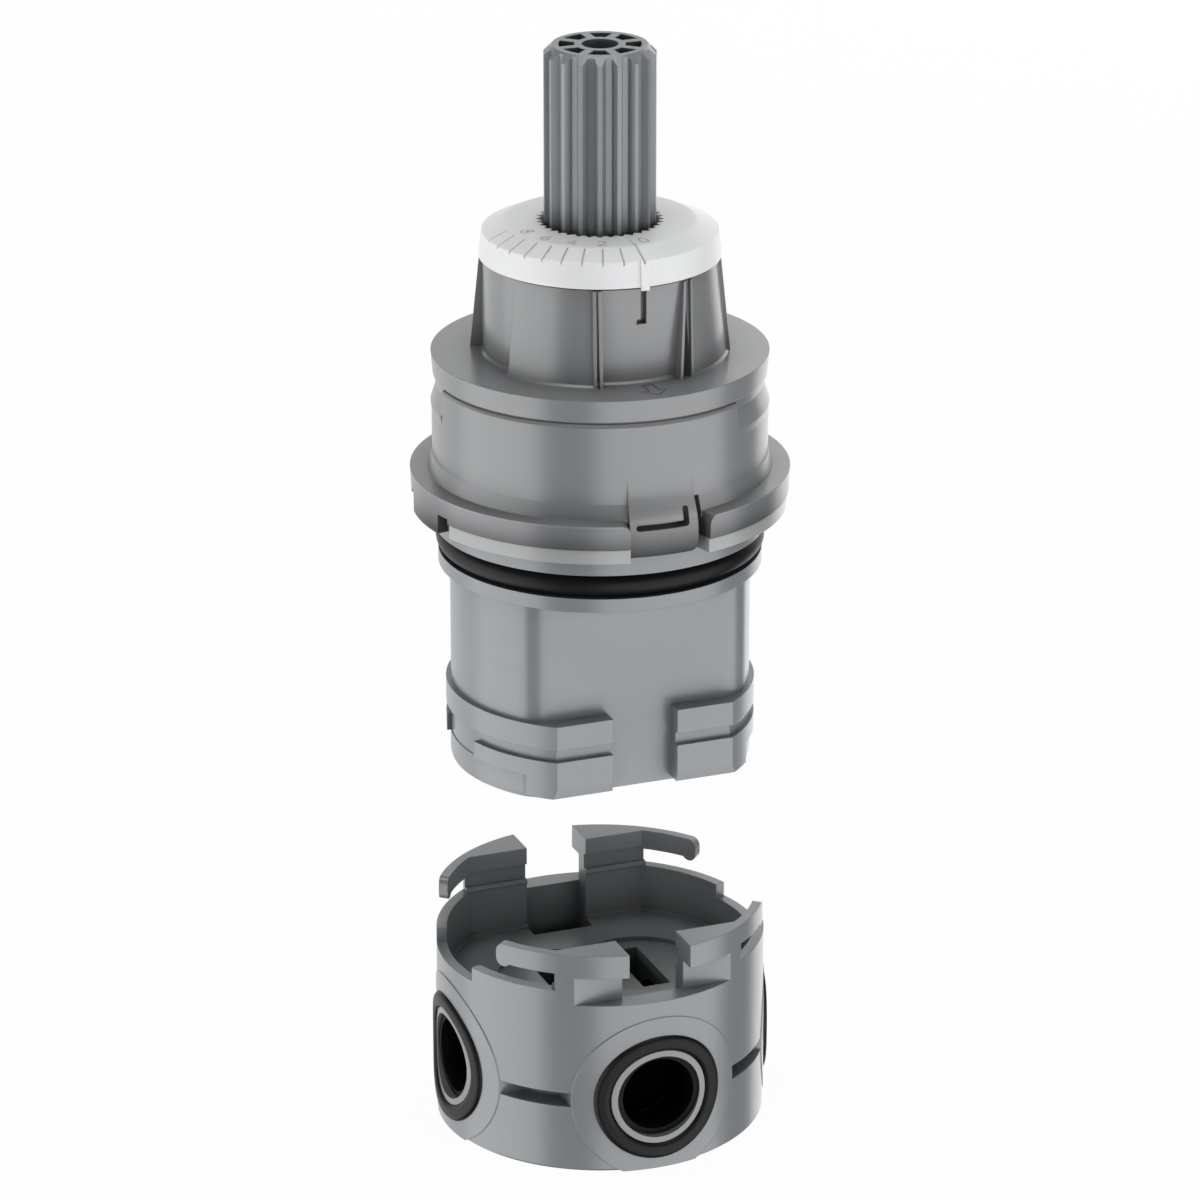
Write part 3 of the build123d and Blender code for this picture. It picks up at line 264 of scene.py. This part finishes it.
        # within the radius of either axis, measured square to it
        bore_height, bore_radius = bore
        from_axis = add_node(
            tree,
            "ShaderNodeVectorMath",
            settings={"operation": "SUBTRACT"},
            inputs={1: (0, 0, bore_height * MM)},
            links={0: coords.outputs["Object"]},
        )
        bore_shade = None
        for across in ((1, 0, 1), (0, 1, 1)):
            flat = add_node(
                tree,
                "ShaderNodeVectorMath",
                settings={"operation": "MULTIPLY"},
                inputs={1: across},
                links={0: from_axis.outputs[0]},
            )
            span = add_node(
                tree,
                "ShaderNodeVectorMath",
                settings={"operation": "LENGTH"},
                links={0: flat.outputs[0]},
            )
            within = add_node(
                tree,
                "ShaderNodeMath",
                settings={"operation": "LESS_THAN"},
                inputs={1: bore_radius * MM},
                links={0: span.outputs["Value"]},
            )
            if bore_shade:
                within = add_node(
                    tree,
                    "ShaderNodeMath",
                    settings={"operation": "MAXIMUM"},
                    links={0: bore_shade.outputs[0], 1: within.outputs[0]},
                )
            bore_shade = within
        darkened = add_node(
            tree,
            "ShaderNodeMix",
            settings={"data_type": "RGBA", "blend_type": "MIX"},
            links={0: bore_shade.outputs[0], 6: base_colour},
        )
        darkened.inputs[7].default_value = linear_rgb(BORE_SHADE_BLACK)
        tree.links.new(darkened.outputs[2], surface.inputs["Base Color"])
        shine = add_node(
            tree,
            "ShaderNodeMapRange",
            inputs={"To Min": specular, "To Max": 0.0},
            links={"Value": bore_shade.outputs[0]},
        )
        tree.links.new(shine.outputs["Result"], surface.inputs["Specular IOR Level"])
    tree.links.new(surface.outputs["BSDF"], output.inputs["Surface"])
    return material


def finish_node(node, material):
    """Gives a CAD node its material in every slot."""
    if not nodes[node].data.materials:
        nodes[node].data.materials.append(material)
    for place in nodes[node].material_slots:
        place.material = material


housing_nylon = moulded_plastic(
    "moulded_glass_filled_nylon",
    HOUSING_GREY,
    roughness=0.29,
    grain_mm=0.35,
    edge_mm=0.12,
    painted_light_shade_bands=[FLANGE_SHADE_BAND_MM],
    painted_shade_fade=FLANGE_SHADE_FADE_MM,
)
finish_node("upper_housing", housing_nylon)

# Lower housing: the flat-sided body with the clip bands, and the plate that closes it.
# Moulded in acetal, bluer than the upper housing and with a smoother skin.
BODY_GREY = "#7b8084"
# painted light: the locking tabs, up to the underside of the flange, are paler
TAB_LIGHT_BAND_MM = (-0.1, 1.75, (1.6, 1.5, 1.42))
body_acetal = moulded_plastic(
    "moulded_acetal_body",
    BODY_GREY,
    roughness=0.29,
    grain_mm=0.3,
    edge_mm=0.10,
    painted_light_shade_bands=[TAB_LIGHT_BAND_MM],
)
for node in ("lower_housing", "base_plate"):
    finish_node(node, body_acetal)

# Stem: the splined shaft that carries the handle, and the driver keyed to its foot.
# Moulded in acetal: a grey satin, with painted shade deep between the splines and in the
# pockets.
STEM_GREY = "#7d8285"
stem_acetal = moulded_plastic(
    "moulded_acetal_stem",
    STEM_GREY,
    roughness=0.32,
    grain_mm=0.25,
    edge_mm=0.08,
    crease_shade=0.8,
    crease_shade_mm=4.0,
)
for node in ("stem", "disc_driver"):
    finish_node(node, stem_acetal)

# Limit ring: the white cap on fine teeth that sets the hottest position.
# Moulded in white acetal, with the scale of ticks cut into its shoulder: a soft white, since
# a little light spreads under the skin.
RING_WHITE = "#e6e7e8"
ring_acetal = moulded_plastic(
    "moulded_white_acetal",
    RING_WHITE,
    roughness=0.45,
    grain_mm=0.3,
    edge_mm=0.14,
    fleck=0.01,
    crease_shade=0.2,
    crease_shade_mm=1.5,
    translucent_mm=0.5,
)
finish_node("limit_ring", ring_acetal)

# Scale numerals: 0 to 8 in steps of two, one beside every second tick of the ring.
# Engraved in the real mould; here thin grey ribbons that lie a hair above the ring's top.
RING_TOP_MM = 31.62
NUMERAL_OUTER_MM = 9.7
NUMERAL_TALL_MM = 1.5
NUMERAL_STROKE_MM = 0.11
NUMERAL_GREY = "#9c9d9e"
TICK_PITCH = 10
# the zero stands aside of the long tick at the index tab
ZERO_ASIDE = 9
MARK_LIFT_MM = 0.01


def arc(centre, radii, start, end, count=20):
    """Points of an ellipse arc: centre + radii * (cos, sin) of an angle from start to end."""
    angle = np.radians(np.linspace(start, end, count))
    return np.array(centre) + np.array(radii) * np.stack([np.cos(angle), np.sin(angle)], 1)


def ribbon(points, width, closed=False):
    """Flat strip along a polyline: each point goes half the width to either side along the
    mitre, which is the mean normal n of its two segments divided by n.n of the unit normals,
    or by the least value 0.3 at a sharp corner, so that the mitre stays short."""
    least_square = 0.3
    tiny = 1e-12
    points = np.asarray(points, float)
    steps = np.diff(points, axis=0, append=points[:1])
    normals = np.stack([-steps[:, 1], steps[:, 0]], 1)
    normals /= np.linalg.norm(normals, axis=1, keepdims=True) + tiny
    if not closed:
        normals[-1] = normals[-2]
    before = np.roll(normals, 1, axis=0)
    if not closed:
        before[0] = normals[0]
    mean = (normals + before) / 2
    mitre = mean / np.maximum((mean**2).sum(1, keepdims=True), least_square)
    sides = np.concatenate([points + mitre * width / 2, points - mitre * width / 2])
    count = len(points)
    last = count if closed else count - 1
    quads = [(i, (i + 1) % count, count + (i + 1) % count, count + i) for i in range(last)]
    return sides, quads


def flat_marks(name, strips, height_mm, material, body):
    """One mesh of level strips, given in mm, a hair above a face, riding on a CAD body."""
    corners, faces = [], []
    for sides, quads in strips:
        start = len(corners)
        corners += [(x * MM, y * MM, (height_mm + MARK_LIFT_MM) * MM) for x, y in sides]
        faces += [tuple(start + i for i in reversed(quad)) for quad in quads]
    mesh = bpy.data.meshes.new(name)
    mesh.from_pydata(corners, [], faces)
    mesh.materials.append(material)
    marks = bpy.data.objects.new(name, mesh)
    bpy.context.scene.collection.objects.link(marks)
    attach(marks, body)


# strokes of each digit in a cell one unit tall and 0.6 wide, its foot at the outer radius
NUMERAL_MIDDLE = 0.3
NUMERALS = {
    0: [arc((0.3, 0.5), (0.3, 0.5), 0, 360)],
    2: [
        np.concatenate([arc((0.3, 0.7), (0.3, 0.3), 170, -35), [(0.0, 0.0)]]),
        np.array([(0.0, 0.0), (0.6, 0.0)]),
    ],
    4: [np.array([(0.45, 0.0), (0.45, 1.0), (0.0, 0.3), (0.62, 0.3)])],
    6: [arc((0.3, 0.3), (0.3, 0.3), 0, 360), arc((0.6, 0.3), (0.6, 0.7), 180, 105)],
    8: [arc((0.3, 0.27), (0.3, 0.27), 0, 360), arc((0.3, 0.77), (0.24, 0.23), 0, 360)],
}
mark_shade = moulded_plastic(
    "engraved_stroke_shadow",
    NUMERAL_GREY,
    roughness=0.6,
    grain_mm=0.2,
    edge_mm=0.02,
    fleck=0.02,
    specular=0.2,
)
strips = []
for digit, strokes in NUMERALS.items():
    bearing = math.radians(-digit * TICK_PITCH + (ZERO_ASIDE if digit == 0 else 0))
    for stroke in strokes:
        radius = NUMERAL_OUTER_MM - stroke[:, 1] * NUMERAL_TALL_MM
        turn = bearing + (stroke[:, 0] - NUMERAL_MIDDLE) * NUMERAL_TALL_MM / NUMERAL_OUTER_MM
        path = np.stack([radius * np.sin(turn), -radius * np.cos(turn)], 1)
        strips.append(ribbon(path, NUMERAL_STROKE_MM))
flat_marks("scale_numerals", strips, RING_TOP_MM, mark_shade, "ring")

# Way-up arrow on the disc, in front of the neck: an outline pointing away from the stem.
# Engraved in the real mould; here a dark ribbon that lies a hair above the disc.
DISC_TOP_MM = 17.3
ARROW_TAIL_MM = 13.7
ARROW_TIP_MM = 17.0
ARROW_HEAD_MM = 1.5
ARROW_WIDE_MM = 2.6
ARROW_SHAFT_MM = 1.1
ARROW_STROKE_MM = 0.16
ARROW_GREY = "#4c4e50"
right_half = [
    (ARROW_SHAFT_MM / 2, ARROW_TAIL_MM),
    (ARROW_SHAFT_MM / 2, ARROW_TIP_MM - ARROW_HEAD_MM),
    (ARROW_WIDE_MM / 2, ARROW_TIP_MM - ARROW_HEAD_MM),
    (0, ARROW_TIP_MM),
]
outline = right_half + [(-x, out) for x, out in reversed(right_half[:-1])]
path = [(x, -out) for x, out in outline]
arrow_shade = moulded_plastic(
    "engraved_arrow_shadow",
    ARROW_GREY,
    roughness=0.6,
    grain_mm=0.2,
    edge_mm=0.02,
    fleck=0.02,
    specular=0.2,
)
arrow_strip = ribbon(path, ARROW_STROKE_MM, closed=True)
flat_marks("way_up_arrow", [arrow_strip], DISC_TOP_MM, arrow_shade, "cartridge")

# Adaptor: the four-way block that clips under the cartridge, with satin walls.
# Moulded in the body's acetal, a little darker; its water ways are painted near black and matte
# inside: painted shade.
ADAPTOR_GREY = "#75797c"
PORT_HEIGHT_MM = -63.1
PORT_WATERWAY_MM = 4.75
adaptor_acetal = moulded_plastic(
    "moulded_acetal_adaptor",
    ADAPTOR_GREY,
    roughness=0.29,
    grain_mm=0.3,
    edge_mm=0.10,
    bore=(PORT_HEIGHT_MM, PORT_WATERWAY_MM),
)
finish_node("adaptor_body", adaptor_acetal)

# Port liners: dull black bushes, moulded, one in each of the adaptor's four spigots.
# They are pressed in, so that the spigot's end shows as a light ring round them.
LINER_BLACK = "#0b0c0b"
SIDES = ("front", "right", "back", "left")
liner_plastic = moulded_plastic(
    "moulded_dark_bush",
    LINER_BLACK,
    roughness=0.5,
    grain_mm=0.25,
    edge_mm=0.04,
    fleck=0.05,
    specular=0.12,
)
for side in SIDES:
    finish_node(f"port_liner_{side}", liner_plastic)

# Seals: the O-rings, port rings, gasket and base seal.
# Moulded EPDM rubber: near black, a dull skin with a soft gloss where it is stretched.
RUBBER_BLACK = "#0d0e0d"
SEALS = ["body_o_ring", "stem_o_rings", "disc_gasket", "sleeve_o_rings", "base_seal"]
seal_rubber = moulded_plastic(
    "moulded_epdm_rubber",
    RUBBER_BLACK,
    roughness=0.42,
    grain_mm=0.2,
    edge_mm=0.05,
    fleck=0.08,
    specular=0.2,
)
for node in SEALS + [f"port_o_ring_{side}" for side in SIDES]:
    finish_node(node, seal_rubber)

# Ceramic discs: the fixed one in the lower housing and the moving one on the driver.
# Lapped alumina, off-white, smooth enough to seal face to face.
CERAMIC_WHITE = "#e6e3db"
ceramic = moulded_plastic(
    "lapped_alumina_ceramic",
    CERAMIC_WHITE,
    roughness=0.18,
    grain_mm=0.2,
    edge_mm=0.08,
    fleck=0.01,
)
for node in ("fixed_disc", "moving_disc"):
    finish_node(node, ceramic)

# Thrust washer: the flat ring that the stem's collar turns on.
# Stamped from natural acetal sheet, a matte ivory, and loose in the housing.
WASHER_IVORY = "#d9d6cc"
washer_acetal = moulded_plastic(
    "stamped_natural_washer",
    WASHER_IVORY,
    roughness=0.4,
    grain_mm=0.2,
    edge_mm=0.05,
    fleck=0.02,
)
finish_node("thrust_washer", washer_acetal)

# Spool sleeve and its two plugs: they lie in the trough of the lower housing.
# Moulded in a polymer, a plain dark satin; the plugs are pressed into the sleeve's ends.
SLEEVE_GREY = "#5a5d60"
sleeve_plastic = moulded_plastic(
    "moulded_sleeve_polymer", SLEEVE_GREY, roughness=0.35, grain_mm=0.2, edge_mm=0.08
)
for node in ("spool_sleeve", "sleeve_plug_left", "sleeve_plug_right"):
    finish_node(node, sleeve_plastic)

# Balance spool: the free piston that shuttles in the sleeve.
# Turned and ground stainless steel: bright, with a slightly blurred gloss.
SPOOL_STEEL = "#b8b8b5"
spool_steel, tree, output = empty_material("ground_stainless_spool")
surface = add_node(
    tree,
    "ShaderNodeBsdfPrincipled",
    inputs={"Base Color": linear_rgb(SPOOL_STEEL), "Metallic": 1.0, "Roughness": 0.25},
)
tree.links.new(surface.outputs["BSDF"], output.inputs["Surface"])
finish_node("balance_spool", spool_steel)

# Floor: a plain white table that the adaptor stands on, not part of the object.
# Painted board: it stays white to the camera and keeps a soft shadow.
FLOOR_HALF = 3.0
BOARD_WHITE = "#f2f2f2"
BOARD_GLOW = 0.96
floor_height = cad_low[2]
floor_mesh = bpy.data.meshes.new("floor")
corners = np.array([(-1, -1), (1, -1), (1, 1), (-1, 1)], float) * FLOOR_HALF
floor_mesh.from_pydata([(x, y, floor_height) for x, y in corners], [], [(0, 1, 2, 3)])
floor = bpy.data.objects.new("floor", floor_mesh)
bpy.context.scene.collection.objects.link(floor)
floor_board, tree, output = empty_material("painted_white_board")
board = add_node(
    tree, "ShaderNodeBsdfDiffuse", inputs={"Color": linear_rgb(BOARD_WHITE), "Roughness": 0.5}
)
glow = add_node(tree, "ShaderNodeEmission", inputs={"Strength": 1.0})
rays = add_node(tree, "ShaderNodeLightPath")
seen = add_node(
    tree,
    "ShaderNodeMath",
    settings={"operation": "MULTIPLY"},
    inputs={1: BOARD_GLOW},
    links={0: rays.outputs["Is Camera Ray"]},
)
mix = add_node(
    tree,
    "ShaderNodeMixShader",
    links={0: seen.outputs[0], 1: board.outputs["BSDF"], 2: glow.outputs["Emission"]},
)
tree.links.new(mix.outputs[0], output.inputs["Surface"])
floor_mesh.materials.append(floor_board)
# it takes the shadow but lets the light of the softboxes' lower halves through
floor.visible_diffuse = False
floor.visible_glossy = False
floor.visible_shadow = False

# Room: a white backdrop to the camera alone, and a faint light on the object from all round,
# since the lamps do the rest.
ROOM_LIGHT = 0.06
BACKDROP_LIGHT = 1.0
world = bpy.data.worlds.new("studio")
bpy.context.scene.world = world
world.use_nodes = True
tree = world.node_tree
tree.nodes.clear()
room = add_node(tree, "ShaderNodeBackground", inputs={"Strength": ROOM_LIGHT})
backdrop = add_node(tree, "ShaderNodeBackground", inputs={"Strength": BACKDROP_LIGHT})
rays = add_node(tree, "ShaderNodeLightPath")
mix = add_node(
    tree,
    "ShaderNodeMixShader",
    links={
        0: rays.outputs["Is Camera Ray"],
        1: room.outputs["Background"],
        2: backdrop.outputs["Background"],
    },
)
output = add_node(tree, "ShaderNodeOutputWorld", links={"Surface": mix.outputs[0]})

# Camera: a long lens, at the photograph's angle. It looks at a point on the stem's axis, and
# the angles are its bearing from the front and its height above the level.
CAMERA_AZIMUTH = math.radians(-21.4)
CAMERA_ELEVATION = math.radians(20.9)
CAMERA_DISTANCE = 608 * MM
LENS_MM = 168
SENSOR_MM = 36
LOOK_AT = Vector((0, 0, -11.6 * MM))
camera_data = bpy.data.cameras.new("camera")
camera_data.lens = LENS_MM
camera_data.sensor_width = SENSOR_MM
camera = bpy.data.objects.new("camera", camera_data)
bpy.context.scene.collection.objects.link(camera)
away = Vector(
    (
        math.sin(CAMERA_AZIMUTH) * math.cos(CAMERA_ELEVATION),
        -math.cos(CAMERA_AZIMUTH) * math.cos(CAMERA_ELEVATION),
        math.sin(CAMERA_ELEVATION),
    )
)
camera.location = LOOK_AT + away * CAMERA_DISTANCE
camera.rotation_euler = away.to_track_quat("Z", "Y").to_euler()
bpy.context.scene.camera = camera

# Lamps: two wide softboxes that leave a dark gap just left of the camera, two fills and a rim
# panel. All reach below the table, so that upright walls, seen from above, mirror them.
PANEL_DISTANCE = 0.5
# start and end bearing from the camera's direction in degrees, positive to its right, then
# bottom and top in metres from the look-at point, and the radiance
LAMPS = {
    "left_softbox": (-106, -40, -0.75, 0.16, 2.15),
    "left_fill": (-152, -106, -0.75, 0.16, 1.0),
    "right_softbox": (-2, 92, -0.75, 0.16, 1.9),
    "rim_panel": (134, 178, -0.55, 0.35, 1.7),
    "back_fill": (-180, -152, -0.55, 0.35, 0.9),
}
for name, (start, end, bottom, top, radiance) in LAMPS.items():
    half = math.radians((end - start) / 2)
    turn = CAMERA_AZIMUTH + math.radians((start + end) / 2)
    data = bpy.data.lights.new(name, "AREA")
    data.shape = "RECTANGLE"
    data.size = 2 * PANEL_DISTANCE * math.tan(half)
    data.size_y = top - bottom
    data.energy = radiance * math.pi * data.size * data.size_y
    lamp = bpy.data.objects.new(name, data)
    bpy.context.scene.collection.objects.link(lamp)
    out = Vector((math.sin(turn), -math.cos(turn), 0))
    lamp.location = LOOK_AT + out * PANEL_DISTANCE + Vector((0, 0, (top + bottom) / 2))
    lamp.rotation_euler = out.to_track_quat("Z", "Y").to_euler()
    lamp.visible_camera = False

# Ceiling softbox: a square lamp that lights the ring, the disc and the other top faces from
# straight above.
CEILING_HEIGHT = 0.7
CEILING_SIDE = 0.7
CEILING_RADIANCE = 2.5
data = bpy.data.lights.new("ceiling_softbox", "AREA")
data.size = CEILING_SIDE
data.energy = CEILING_RADIANCE * math.pi * CEILING_SIDE**2
lamp = bpy.data.objects.new("ceiling_softbox", data)
bpy.context.scene.collection.objects.link(lamp)
lamp.location = LOOK_AT + Vector((0, 0, CEILING_HEIGHT))
lamp.visible_camera = False

bpy.context.scene.view_settings.view_transform = "Standard"
